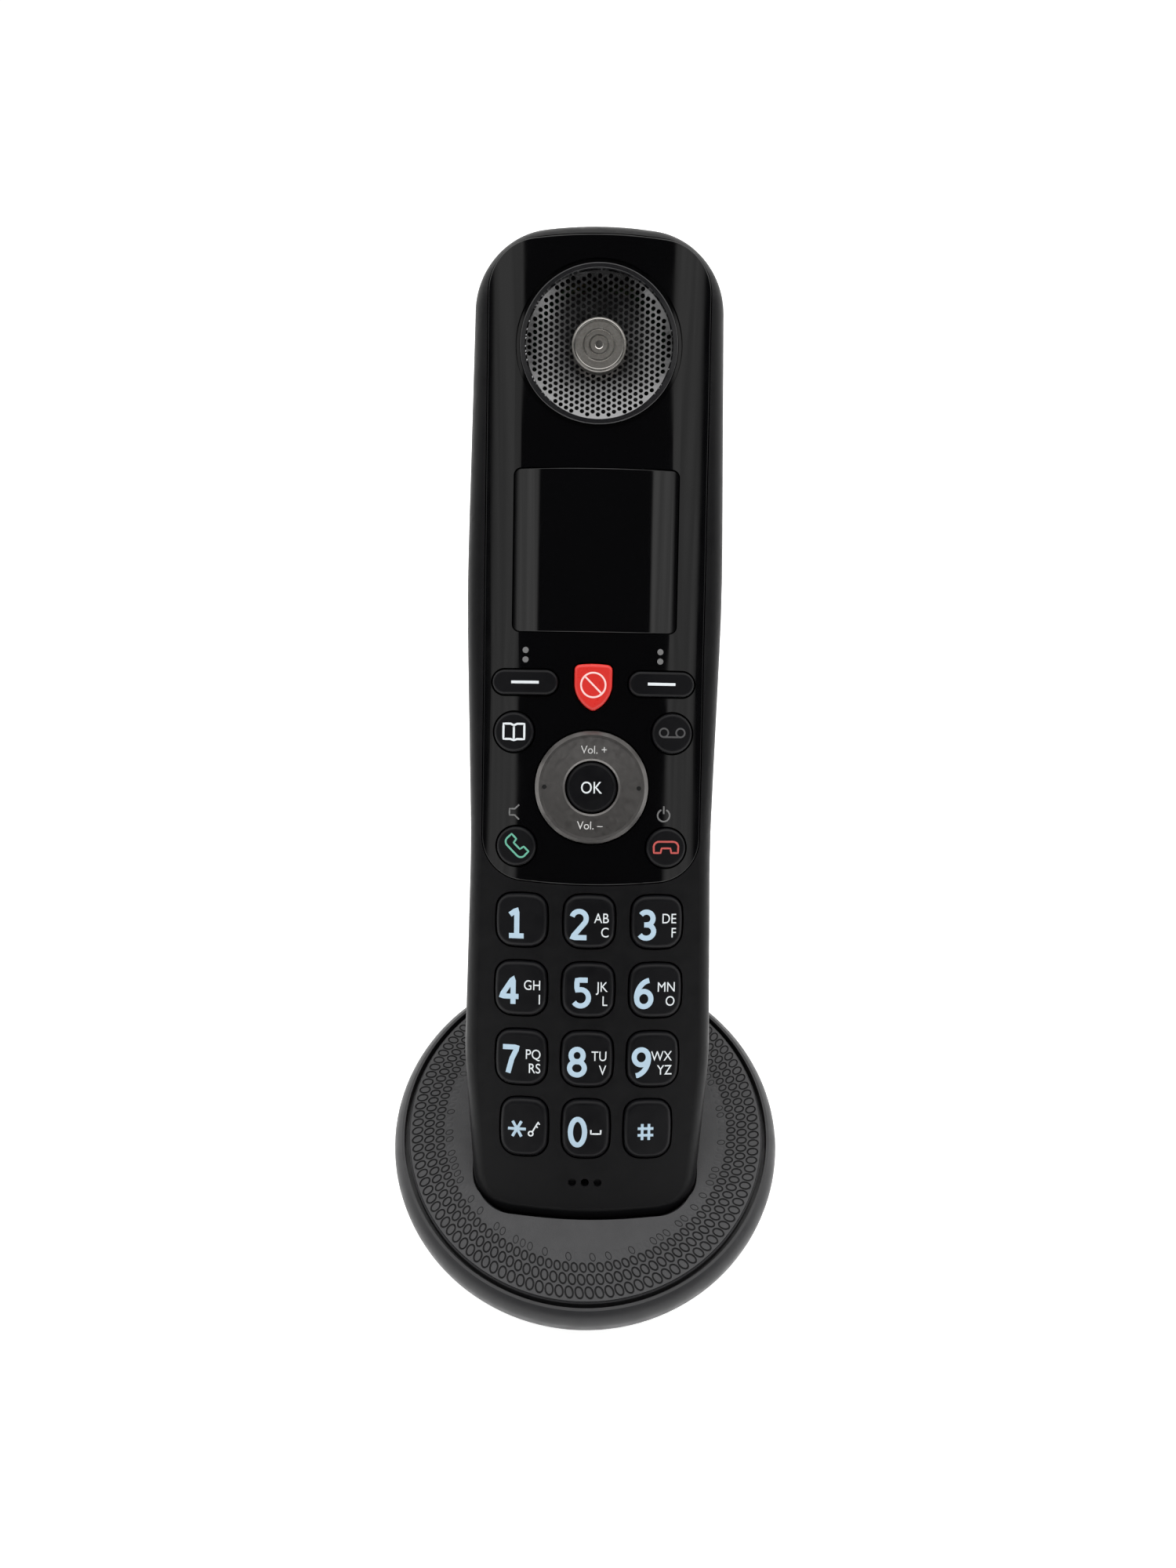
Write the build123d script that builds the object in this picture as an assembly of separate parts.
from build123d import *
import math
import os

os.makedirs("parts", exist_ok=True)

# Cordless handset standing in a round charging base, in millimetres.
# World frame: origin in the foot's underside, +X to the handset's right edge, front toward -Y, +Z up.
# Handset frame: X across, Y up the face from where the face meets the base, Z out of the face.

# Base
PLATE_TILT = 10.0
PLATE_Z = 17.0
PLATE_R = 34.5
PLATE_T = 2.2
SEAT_R = 35.3
RIM_LIP_R = 36.3
RIM_MAX_R = 37.4
RIM_LOW_R = 36.8
RIM_H = 6.2
RIM_WALL = 1.8
LEDGE_R = 33.2
LEDGE_T = 1.5
FOOT_R = 30.5
FOOT_Y = 2.0
MAT_T = 0.8
COVER_T = 1.5
COVER_TOP = MAT_T + COVER_T
POCKET_GAP = 0.4
POCKET_WALL = 1.5
MOUTH = [
    (19.9, -18.3, 7.5),
    (21.3, -2.0, 0.5),
]
MOUTH_FRONT = (-20.35, 95)
MOUTH_DEEP = 2.4
MOUTH_TAPER = 24.0
BASE_SCREWS = [(-10.0, -20.5), (10.0, -20.5), (-16.5, 20.5), (16.5, 20.5)]
PIN_X = 9.0
PIN_Y = -0.5
PIN_R = 1.0
PIN_TOP = 7.95
JACK_Z = 8.0
JACK_Y = 33.0

# Handset
LEAN = 32.0
FACE_Y = -18.15
CROWN_R = 110.0
BACK_Z = -24.0
SEAM_Z = -9.0
WALL = 1.8
SKIN = 3.4
EDGE_R = 2.8
BACK_R = 5.5
CORNERS = [
    (20.3, -1.4, 8),
    (22.85, 28, 60),
    (22.15, 68, 300),
    (23.4, 113, 400),
    (22.2, 176.6, 14),
]
LOW_END = (-2.4, 100)
HIGH_END = (178.8, 95)
BEVEL_LOW = (-4.2, -11.0)
BEVEL_HIGH = (12.0, -23.5)
BOARD_TOP = -7.9
BOARD_T = 1.0
SHEET_TOP = -7.5
MAT_TOP = -6.95
STEM_Z = -5.7
HANDSET_SCREWS = [(-17.3, 105.0), (17.3, 105.0), (-15.4, 5.6), (15.4, 5.6)]

# Front panel
PANEL_HALF = 19.9
PANEL_LOW = 60.2
PANEL_HIGH = 176.6
PANEL_SAG = 1.6
PANEL_T = 1.5
EAR_S = 157.2
RING_R = 14.1
RING_IN = 13.2
RING_STEP_R = 14.85
BADGE_R = 4.85
DISH_R = 46.0
DISH_Z = 2.65
DISH_EDGE = 12.2
WINDOW_S = 120.9
WINDOW_W = 29.6
WINDOW_H = 29.1
LENS_R = 78.0

# Keys: gap to the hole, proud height, retaining flange
GAP = 0.3
PROUD = 0.75
FLANGE = 0.5
FLANGE_T = 0.6
ROWS = [
    (54.0, 12.3, 10.0, 10.4),
    (41.4, 12.3, 10.2, 10.7),
    (28.6, 12.05, 10.1, 10.9),
    (15.6, 11.35, 9.4, 11.5),
]
KEY_NAMES = [["1", "2", "3"], ["4", "5", "6"], ["7", "8", "9"], ["star", "0", "hash"]]
SOFT = (12.3, 97.25, 12.5, 5.1)
SHIELD = (0.0, 96.6, 7.4, 8.8)
ROUND_KEYS = {
    "phonebook_key": (-14.2, 88.25, 7.85),
    "voicemail_key": (14.4, 88.4, 7.9),
    "talk_key": (-13.5, 67.5, 7.8),
    "end_key": (13.7, 67.6, 7.8),
}
NAV_S = 78.45
NAV_R = 10.25
NAV_IN = 4.85
OK_R = 4.5

# Battery bay
CELL_R = 5.25
CELL_L = 44.5
CELL_X = 5.6
CELL_Z = -15.9
CELL_S = 54.2
DOOR_W = 26.4
DOOR_L = 54.0
DOOR_T = 1.5

TILT = math.radians(PLATE_TILT)
FACE_ORIGIN = (0, FACE_Y * math.cos(TILT), PLATE_Z + FACE_Y * math.sin(TILT))
FACE_NORMAL = (0, -math.cos(math.radians(LEAN)), math.sin(math.radians(LEAN)))
FACE = Plane(origin=FACE_ORIGIN, x_dir=(1, 0, 0), z_dir=FACE_NORMAL)
TOP = Plane(origin=(0, 0, PLATE_Z), x_dir=(1, 0, 0), z_dir=(0, -math.sin(TILT), math.cos(TILT)))


def save(name, shape, plane=None):
    if plane is not None:
        shape = plane.location * shape
    solids = shape.solids()
    if len(solids) == 1:
        shape = solids[0]
    shape.label = name
    export_step(shape, f"parts/{name}.step")
    print(name, len(solids), round(shape.volume, 1), flush=True)


def block(x0, x1, y0, y1, z0, z1):
    solid = Box(x1 - x0, y1 - y0, z1 - z0)
    return Pos((x0 + x1) / 2, (y0 + y1) / 2, (z0 + z1) / 2) * solid


def rod(x, y, z0, z1, r):
    return Pos(x, y, (z0 + z1) / 2) * Cylinder(r, z1 - z0)


def prism(face, z0, z1):
    return Pos(0, 0, z0) * extrude(face, z1 - z0)


def crown(extra):
    """Everything under the face's cylindrical crown, raised by extra."""
    bar = Rot(90, 0, 0) * Cylinder(CROWN_R + extra, 500)
    return Pos(0, 90, -CROWN_R) * bar


def outline(grow):
    """The handset's face outline, grown outward: corners (across, up, rounding) joined by tangents."""
    pts = [(0, LOW_END[0])] + [(x, s) for x, s, r in CORNERS]
    pts += [(0, HIGH_END[0])] + [(-x, s) for x, s, r in reversed(CORNERS)]
    sides = [r for x, s, r in CORNERS]
    radii = [LOW_END[1]] + sides + [HIGH_END[1]] + sides[::-1]
    face = make_face(FilletPolyline(*pts, radius=radii, close=True).edges())
    return offset(face, grow) if grow else face


def below_bevel(grow):
    """The space outside the sloping lower back face, that face moved outward by grow."""
    ds = BEVEL_HIGH[0] - BEVEL_LOW[0]
    dz = BEVEL_HIGH[1] - BEVEL_LOW[1]
    size = math.hypot(ds, dz)
    slope = math.degrees(math.atan2(dz, ds))
    mid = ((BEVEL_LOW[0] + BEVEL_HIGH[0]) / 2, (BEVEL_LOW[1] + BEVEL_HIGH[1]) / 2)
    out = (dz / size, -ds / size)
    slab = Rot(slope, 0, 0) * (Pos(0, 0, -20) * Box(80, 90, 40))
    return Pos(0, mid[0] + grow * out[0], mid[1] + grow * out[1]) * slab


def envelope(grow, drop, edge_r, back_r):
    """The handset's outer form, grown outward, its crown lowered by drop."""
    body = prism(outline(grow), BACK_Z - grow, 4)
    body = body & crown(-drop)
    front = body.faces().sort_by(Axis.Z)[-1]
    body = fillet(front.edges(), edge_r)
    back = body.faces().sort_by(Axis.Z)[0]
    body = fillet(back.edges(), back_r)
    return body - below_bevel(grow)


def pillow(w, h, bulge, r_top, r_low):
    """A rounded rectangle whose four sides bow outward."""
    a, b = w / 2 - bulge, h / 2 - bulge
    arcs = [
        ThreePointArc((-a, -b), (0, -h / 2), (a, -b)),
        ThreePointArc((a, -b), (w / 2, 0), (a, b)),
        ThreePointArc((a, b), (0, h / 2), (-a, b)),
        ThreePointArc((-a, b), (-w / 2, 0), (-a, -b)),
    ]
    face = make_face(arcs)
    corners = face.vertices().sort_by(Axis.Y)
    face = fillet(corners[2:], r_top)
    corners = face.vertices().sort_by(Axis.Y)
    return fillet(corners[:2], r_low)


def shield(w, h):
    """A shield: bowed top, upright shoulders, sides drawn in to a rounded point."""
    a, b = w / 2, h / 2
    edges = [
        ThreePointArc((-a, b - 0.35), (0, b), (a, b - 0.35)),
        Line((a, b - 0.35), (a, 0.2)),
        ThreePointArc((a, 0.2), (0.75 * a, -0.56 * b), (0, -b - 0.3)),
        ThreePointArc((0, -b - 0.3), (-0.75 * a, -0.56 * b), (-a, 0.2)),
        Line((-a, 0.2), (-a, b - 0.35)),
    ]
    face = make_face(edges)
    face = fillet(face.vertices().sort_by(Axis.Y)[-2:], 1.3)
    return fillet(face.vertices().sort_by(Axis.Y)[:1], 1.2)


def key_face(kind, w, h, grow):
    if kind == "square":
        return pillow(w + 2 * grow, h + 2 * grow, 0.45, 3.0 + grow, 3.4 + grow)
    if kind == "shield":
        face = shield(w, h)
        return offset(face, grow) if grow else face
    if kind == "stadium":
        return RectangleRounded(w + 2 * grow, h + 2 * grow, (h + 2 * grow) / 2 - 0.01)
    return Circle(w / 2 + grow)


def hole(kind, x, s, w, h):
    return prism(Pos(x, s) * key_face(kind, w, h, 0), -9, 4)


def keycap(kind, x, s, w, h, top_r):
    """Cap, retaining flange behind the skin, and stem above the mat."""
    place = Pos(x, s)
    cap = prism(place * key_face(kind, w, h, -GAP), -SKIN - 0.9, 4)
    cap = cap & crown(PROUD)
    cap = fillet(cap.faces().sort_by(Axis.Z)[-1].edges(), top_r)
    rim = prism(place * key_face(kind, w, h, FLANGE), -9, 4)
    rim = (rim & crown(-SKIN - 0.3)) - crown(-SKIN - 0.3 - FLANGE_T)
    stem = rod(x, s, STEM_Z, -SKIN - 0.5, min(w, h) / 2 - 1.0)
    return cap + rim + stem


# ---- Handset shells ----
outer = envelope(0, 0, EDGE_R, BACK_R)
inner = envelope(-WALL, SKIN, 1.2, BACK_R - WALL)
front_half = block(-40, 40, -20, 200, SEAM_Z, 10)
back_half = block(-40, 40, -20, 200, -40, SEAM_Z)

keys = []
for row, (s, pitch, w, h) in enumerate(ROWS):
    for col in range(3):
        keys.append((f"key_{KEY_NAMES[row][col]}", "square", (col - 1) * pitch, s, w, h, 0.9))
keys.append(("soft_key_left", "stadium", -SOFT[0], SOFT[1], SOFT[2], SOFT[3], 0.6))
keys.append(("soft_key_right", "stadium", SOFT[0], SOFT[1], SOFT[2], SOFT[3], 0.6))
keys.append(("call_block_key", "shield", *SHIELD, 0.7))
for name, (x, s, d) in ROUND_KEYS.items():
    keys.append((name, "round", x, s, d, d, 0.7))
holes = [hole(kind, x, s, w, h) for name, kind, x, s, w, h, r in keys]
holes.append(rod(0, NAV_S, -9, 4, NAV_R + GAP))


def panel_face(grow):
    """Panel outline: upright sides, rounded corners and slightly bowed ends."""
    w, low, high = PANEL_HALF, PANEL_LOW + PANEL_SAG, PANEL_HIGH - PANEL_SAG
    pts = [(0, PANEL_LOW), (w, low), (w, high), (0, PANEL_HIGH), (-w, high), (-w, low)]
    face = make_face(FilletPolyline(*pts, radius=[120, 8, 9, 120, 9, 8], close=True).edges())
    return offset(face, grow) if grow else face


recess = prism(panel_face(0.12), -20, 6) - crown(-PANEL_T - 0.1)
display_hole = Pos(0, WINDOW_S) * RectangleRounded(28.0, 27.5, 1.0)
mic_hole = rod(0, 5.4, -6, 3, 0.75)
dimples = [rod(x, 5.4, -0.9, 3, 0.75) for x in (-2.35, 2.35)]

front = (outer & front_half) - inner
front = front - recess
front = front - (holes + [prism(display_hole, -9, 4), rod(0, EAR_S, -9, 4, DISH_EDGE + 0.1), mic_hole] + dimples)
reveal = prism(outline(2), SEAM_Z, SEAM_Z + 0.3) - prism(outline(-0.3), SEAM_Z, SEAM_Z + 0.3)
front = front - reveal
for x, s in HANDSET_SCREWS:
    post = rod(x, s, SEAM_Z + 0.2, -3.6, 2.1) - rod(x, s, -20, -4.8, 0.8)
    front = front + post
save("handset_front_housing", front, FACE)

back = (outer & back_half) - inner
bay = block(-CELL_X - 7.6, CELL_X + 7.6, CELL_S - 25.6, CELL_S + 25.6, -22.4, -9.4)
bay_space = block(-CELL_X - 6.4, CELL_X + 6.4, CELL_S - 24.4, CELL_S + 24.4, -30, -10.4)
frame_pad = block(-DOOR_W / 2 - 1.7, DOOR_W / 2 + 1.7, CELL_S - 28.7, CELL_S + 28.7, -22.4, -21.0)
door_hole = Pos(0, CELL_S) * RectangleRounded(DOOR_W + 2 * GAP, DOOR_L + 2 * GAP, 2.5 + GAP)
back = (back + bay + frame_pad) - bay_space
back = back - prism(door_hole, -30, BACK_Z + DOOR_T + GAP)
for x, s in HANDSET_SCREWS:
    tower = rod(x, s, -22.6, SEAM_Z, 3.0) & outer
    back = back + tower
    back = back - rod(x, s, -30, -15.0, 2.2) - rod(x, s, -16, 0, 1.3)
sound = [
    rod(2.6 * i + 1.3 * (j % 2), 132 + 2.25 * j, -30, -20, 0.7)
    for j in range(-2, 3)
    for i in range(-3, 3 + (j + 1) % 2)
]
back = back - sound
pad_slots = []
ds = BEVEL_HIGH[0] - BEVEL_LOW[0]
dz = BEVEL_HIGH[1] - BEVEL_LOW[1]
BEVEL_ANGLE = math.degrees(math.atan2(dz, ds))
PAD_S = 4.5
PAD_Z = BEVEL_LOW[1] + (PAD_S - BEVEL_LOW[0]) * dz / ds


def on_bevel(x, shape):
    return Pos(x, PAD_S, PAD_Z) * (Rot(BEVEL_ANGLE, 0, 0) * shape)


for x in (-PIN_X, PIN_X):
    back = back - on_bevel(x, Box(6.1, 5.1, 10))
save("handset_back_cover", back, FACE)
for side, x in (("left", -PIN_X), ("right", PIN_X)):
    plate = on_bevel(x, Pos(0, 0, 0.6) * Box(6.0, 5.0, 1.0))
    tab = on_bevel(x, Pos(0, 0, 2.6) * Box(2.0, 0.6, 3.2))
    save(f"charge_contact_{side}", plate + tab, FACE)

door = prism(Pos(0, CELL_S) * RectangleRounded(DOOR_W, DOOR_L, 2.5), BACK_Z, BACK_Z + DOOR_T)
door = chamfer(door.faces().sort_by(Axis.Z)[0].edges(), 0.3)
for i in range(5):
    door = door - block(-6 + i, 6 - i, CELL_S + 16 + 1.6 * i, CELL_S + 16.7 + 1.6 * i, -25, BACK_Z + 0.4)
save("battery_door", door, FACE)

# ---- Front panel, display and earpiece ----
panel = prism(panel_face(0), -20, 6) & crown(0)
panel = fillet(panel.faces().sort_by(Axis.Z)[-1].edges(), 0.25)
panel = panel - crown(-PANEL_T)
window_face = RectangleRounded(WINDOW_W, WINDOW_H, 1.3)
window_cut = Pos(0, WINDOW_S) * RectangleRounded(WINDOW_W + 0.2, WINDOW_H + 0.2, 1.4)
panel = panel - [prism(window_cut, -9, 4), rod(0, EAR_S, -9, 4, RING_R + 0.1)]
panel = panel - (rod(0, EAR_S, -9, 4, RING_STEP_R) - crown(-0.35))
panel = panel - [h for h, k in zip(holes, keys + [None]) if k is None or k[3] > 60]
save("handset_front_panel", panel, FACE)

lens_axis = 0.1 - LENS_R
lens = prism(Pos(0, WINDOW_S) * window_face, -9, 4)
lens = lens & (Pos(0, 90, lens_axis) * (Rot(90, 0, 0) * Cylinder(LENS_R, 500)))
lens = fillet(lens.faces().sort_by(Axis.Z)[-1].edges(), 0.2)
lens = lens - (Pos(0, 90, lens_axis) * (Rot(90, 0, 0) * Cylinder(LENS_R - 1.15, 500)))
save("display_window", lens, FACE)
save("display_module", block(-13.6, 13.6, WINDOW_S - 13.4, WINDOW_S + 13.4, BOARD_TOP, -2.8), FACE)

ring = rod(0, EAR_S, -9, 4, RING_R) & crown(0.12)
ring = fillet(ring.faces().sort_by(Axis.Z)[-1].edges(), 0.25)
ring = ring - crown(-PANEL_T)
ring = ring - rod(0, EAR_S, -9, 4, RING_IN)
save("earpiece_ring", ring, FACE)
dish_top = Pos(0, EAR_S, DISH_R - DISH_Z) * Sphere(DISH_R)
dish_low = Pos(0, EAR_S, DISH_R - DISH_Z) * Sphere(DISH_R + 0.5)
dish = (rod(0, EAR_S, -4.0, -1.2, DISH_EDGE) & dish_low) - dish_top
dish = dish + (rod(0, EAR_S, -1.5, -1.0, RING_IN - 0.1) - rod(0, EAR_S, -2, 0, DISH_EDGE - 0.2))
save("earpiece_grille", dish, FACE)
badge = rod(0, EAR_S, -2.38, -0.5, BADGE_R)
badge = fillet(badge.faces().sort_by(Axis.Z)[-1].edges(), 0.3)
badge = badge - rod(0, EAR_S, -0.65, 1, BADGE_R - 0.65)
save("earpiece_badge", badge, FACE)
receiver = rod(0, EAR_S, -7.6, -5.0, 11.0) + rod(0, EAR_S, -5.0, -3.6, 8.5)
save("earpiece_receiver", receiver, FACE)

# ---- Board and electronics ----
board = prism(outline(-3.0), BOARD_TOP - BOARD_T, BOARD_TOP) & block(-30, 30, 3, 174, -20, 0)
board = board - [rod(x, s, -20, 0, 2.5) for x, s in HANDSET_SCREWS]
save("main_board", board, FACE)
mat_area = prism(outline(-3.0), SHEET_TOP, MAT_TOP) & block(-30, 30, 8, 102.6, -20, 0)
mat_area = mat_area - [rod(x, s, -20, 0, 2.6) for x, s in HANDSET_SCREWS]
mat_area = mat_area + [rod(x, NAV_S, SHEET_TOP, -6.15, 0.8) for x in (-9.0, 9.0)]
save("keypad_mat", mat_area, FACE)
sheet = prism(outline(-3.4), BOARD_TOP, BOARD_TOP + 0.15) & block(-30, 30, 8.4, 102.2, -20, 0)
sheet = sheet - [rod(x, s, -20, 0, 2.8) for x, s in HANDSET_SCREWS]
dome_spots = [(k[2], k[3]) for k in keys]
dome_spots += [(0, NAV_S), (0, NAV_S + 7.4), (0, NAV_S - 7.4), (-7.4, NAV_S), (7.4, NAV_S)]
sheet = sheet + [rod(x, s, BOARD_TOP, SHEET_TOP, 1.9) for x, s in dome_spots]
save("dome_sheet", sheet, FACE)
save("microphone", rod(0, 5.4, -7.8, -4.0, 2.6), FACE)
speaker = rod(0, 132, -21.9, -18.2, 10.0) + rod(0, 132, -18.2, -13.6, 7.0)
save("rear_speaker", speaker, FACE)
antenna = block(-9, 9, 169.5, 170.1, BOARD_TOP, -5.2) + block(-9, 9, 169.5, 174.5, -5.7, -5.2)
save("antenna_strip", antenna, FACE)

for side, x in (("left", -CELL_X), ("right", CELL_X)):
    cell = Pos(x, CELL_S, CELL_Z) * (Rot(90, 0, 0) * Cylinder(CELL_R, CELL_L))
    cell = fillet(cell.edges().filter_by(GeomType.CIRCLE), 0.5)
    end = 1 if x > 0 else -1
    nub = Pos(x, CELL_S + end * (CELL_L / 2 + 0.35), CELL_Z) * (Rot(90, 0, 0) * Cylinder(1.9, 0.9))
    save(f"battery_cell_{side}", cell + nub, FACE)
low_s = CELL_S - 24.3
high_s = CELL_S + 24.3
bridge = block(-10.4, 10.4, low_s, low_s + 0.5, -20.5, -11.5)
save("battery_bridge_contact", bridge, FACE)
save("battery_terminal_plus", block(1.4, 10.4, high_s - 0.5, high_s, -20.5, -11.5), FACE)
save("battery_terminal_minus", block(-10.4, -1.4, high_s - 0.5, high_s, -20.5, -11.5), FACE)

screws = []
for x, s in HANDSET_SCREWS:
    head = rod(x, s, -17.0, -15.1, 1.9)
    drive = Pos(x, s, -17.0) * (Box(2.4, 0.6, 1.6) + Box(0.6, 2.4, 1.6))
    screws.append((head - drive) + rod(x, s, -15.1, -5.2, 0.75))
save("handset_screws", Compound(children=screws), FACE)

# ---- Keys ----
for name, kind, x, s, w, h, r in keys:
    save(name, keycap(kind, x, s, w, h, r), FACE)


def turned(points, s):
    """Solid of revolution about the nav axis from a closed (radius, height) outline."""
    face = make_face(Polyline(*points, close=True))
    return Pos(0, s, 0) * revolve(Rot(90, 0, 0) * face, Axis.Z)


nav = turned(
    [
        (NAV_IN, -SKIN),
        (NAV_R, -SKIN),
        (NAV_R, -0.1),
        (NAV_R - 0.7, 0.75),
        (NAV_R - 1.2, 0.8),
        (NAV_IN + 0.35, 0.2),
        (NAV_IN, 0.0),
    ],
    NAV_S,
)
nav = nav - [Pos(x, NAV_S, 0.9) * Sphere(0.45) for x in (-8.5, 8.5)]
save("nav_ring", nav, FACE)
web = rod(0, NAV_S, -5.9, -5.1, 11.3) - rod(0, NAV_S, -9, 0, 5.3)
web = web + [rod(0, NAV_S + d, -5.5, -3.65, 0.9) for d in (-7.4, 7.4)]
save("nav_web", web, FACE)
ok = turned(
    [
        (0, STEM_Z),
        (3.9, STEM_Z),
        (3.9, -SKIN),
        (OK_R, -SKIN),
        (OK_R, -0.1),
        (OK_R - 0.45, 0.3),
        (2.4, 0.45),
        (0, 0.5),
    ],
    NAV_S,
)
save("ok_key", ok, FACE)


# ---- Base ----
def mouth():
    """The pocket's opening in the plate: wider than the pocket in front, its walls sloping inward."""
    pts = [(0, MOUTH_FRONT[0])] + [(x, y) for x, y, r in MOUTH]
    pts += [(-x, y) for x, y, r in reversed(MOUTH)]
    sides = [r for x, y, r in MOUTH]
    radii = [MOUTH_FRONT[1]] + sides + sides[::-1]
    face = make_face(FilletPolyline(*pts, radius=radii, close=True).edges())
    return Pos(0, 0, 0.05) * extrude(face, MOUTH_DEEP, dir=(0, 0, -1), taper=MOUTH_TAPER)


def skirt(shrink, z):
    """Lower wall between the tilted rim and the level foot."""
    high = TOP.location * (Pos(0, 0, -RIM_H) * Circle(RIM_LOW_R - shrink))
    low = Pos(0, FOOT_Y, z) * Circle(FOOT_R - shrink)
    return loft([low, high], ruled=True)


rim_side = make_face(
    [
        Line((0, 0), (RIM_LIP_R - 0.5, 0)),
        ThreePointArc((RIM_LIP_R - 0.5, 0), (RIM_MAX_R - 0.55, -1.0), (RIM_MAX_R, -3.4)),
        ThreePointArc((RIM_MAX_R, -3.4), (RIM_MAX_R - 0.15, -4.9), (RIM_LOW_R, -RIM_H)),
        Line((RIM_LOW_R, -RIM_H), (0, -RIM_H)),
        Line((0, -RIM_H), (0, 0)),
    ]
)
rim = TOP.location * revolve(Rot(90, 0, 0) * rim_side, Axis.Z)
rim = rim + skirt(0, MAT_T)
hollow = TOP.location * rod(0, 0, -RIM_H, -PLATE_T - 0.05 - LEDGE_T, RIM_LOW_R - RIM_WALL)
hollow = hollow + skirt(RIM_WALL, MAT_T)
rim = rim - hollow
rim = rim - TOP.location * rod(0, 0, -9, 5, LEDGE_R)
rim = rim - TOP.location * rod(0, 0, -PLATE_T - 0.05, 5, SEAT_R)
rim = rim - block(-4.8, 4.8, 25, 40, JACK_Z - 4.9, JACK_Z + 4.9)
save("base_rim_shell", rim)

pocket = FACE.location * envelope(POCKET_GAP, -POCKET_GAP, EDGE_R + 0.4, BACK_R + 0.4)
cup = FACE.location * envelope(
    POCKET_GAP + POCKET_WALL, -POCKET_GAP - POCKET_WALL, EDGE_R + 1.9, BACK_R + 1.9
)
cup = cup & (TOP.location * block(-60, 60, -60, 60, -60, -0.5))
plate = rod(0, 0, -PLATE_T, 0, PLATE_R)
plate = TOP.location * chamfer(plate.faces().sort_by(Axis.Z)[-1].edges(), 0.25)
for x, y in BASE_SCREWS:
    tower = rod(x, y, COVER_TOP + 0.05, 30, 2.6)
    tower = tower & (TOP.location * block(-60, 60, -60, 60, -60, -0.5))
    plate = plate + tower
plate = (plate + cup) - pocket
plate = plate - TOP.location * mouth()
plate = plate - [rod(x, y, -1, 7.0, 0.95) for x, y in BASE_SCREWS]
plate = plate - [rod(x, PIN_Y, 0, 12, PIN_R + 0.06) for x in (-PIN_X, PIN_X)]
save("base_top_plate", plate)

cover = rod(0, FOOT_Y, MAT_T, COVER_TOP, FOOT_R - RIM_WALL - 0.1)
cover = cover - [rod(x, y, -1, 1.9, 2.4) for x, y in BASE_SCREWS]
cover = cover - [rod(x, y, -1, 5, 1.3) for x, y in BASE_SCREWS]
save("base_bottom_cover", cover)
foot = rod(0, FOOT_Y, 0, MAT_T, FOOT_R - 1.0)
foot = chamfer(foot.faces().sort_by(Axis.Z)[0].edges(), 0.2)
foot = foot - [rod(x, y, -1, 5, 2.7) for x, y in BASE_SCREWS]
save("base_foot_mat", foot)
screws = []
for x, y in BASE_SCREWS:
    head = rod(x, y, 0.85, 1.9, 2.1)
    drive = Pos(x, y, 0.85) * (Box(2.4, 0.6, 1.2) + Box(0.6, 2.4, 1.2))
    screws.append((head - drive) + rod(x, y, 1.9, 6.6, 0.9))
save("base_screws", Compound(children=screws))

weight = skirt(RIM_WALL + 0.5, MAT_T) & block(-40, 40, -40, -7, COVER_TOP + 0.1, 9.0)
weight = weight & (TOP.location * block(-60, 60, -60, 60, -60, -PLATE_T - LEDGE_T - 0.3))
clear_cup = FACE.location * envelope(2.3, -2.3, EDGE_R + 2.3, BACK_R + 2.3)
weight = weight - clear_cup
weight = weight - [rod(x, y, 0, 20, 3.0) for x, y in BASE_SCREWS]
save("base_ballast", weight)

charge_board = block(-14, 14, -5.5, 15, COVER_TOP + 0.1, COVER_TOP + 1.1)
charge_board = charge_board + block(-4, 4, 15, 19.5, COVER_TOP + 0.1, COVER_TOP + 1.1)
charge_board = charge_board + block(2, 10, 8, 13, COVER_TOP + 1.1, COVER_TOP + 3.0)
save("base_charge_board", charge_board)
jack = block(-4.5, 4.5, JACK_Y - 12, JACK_Y, JACK_Z - 4.6, JACK_Z + 4.6)
jack = jack - (Pos(0, JACK_Y, JACK_Z) * (Rot(90, 0, 0) * Cylinder(2.75, 19)))
jack = jack + (Pos(0, JACK_Y - 5.6, JACK_Z) * (Rot(90, 0, 0) * Cylinder(1.0, 9.2)))
save("base_power_inlet", jack)

BOARD_Z = COVER_TOP + 1.1
for side, x in (("left", -PIN_X), ("right", PIN_X)):
    pin = rod(x, PIN_Y, 5.1, PIN_TOP, PIN_R)
    pin = fillet(pin.faces().sort_by(Axis.Z)[-1].edges(), 0.6)
    pin = pin + rod(x, PIN_Y, 4.9, 5.3, 1.6)
    save(f"contact_pin_{side}", pin)
    path = Helix(pitch=0.45, height=1.1, radius=1.2)
    wire = Plane(path @ 0, z_dir=path % 0) * Circle(0.11)
    coil = Pos(x, PIN_Y, BOARD_Z + 0.15) * sweep(wire, path)
    save(f"contact_spring_{side}", coil)
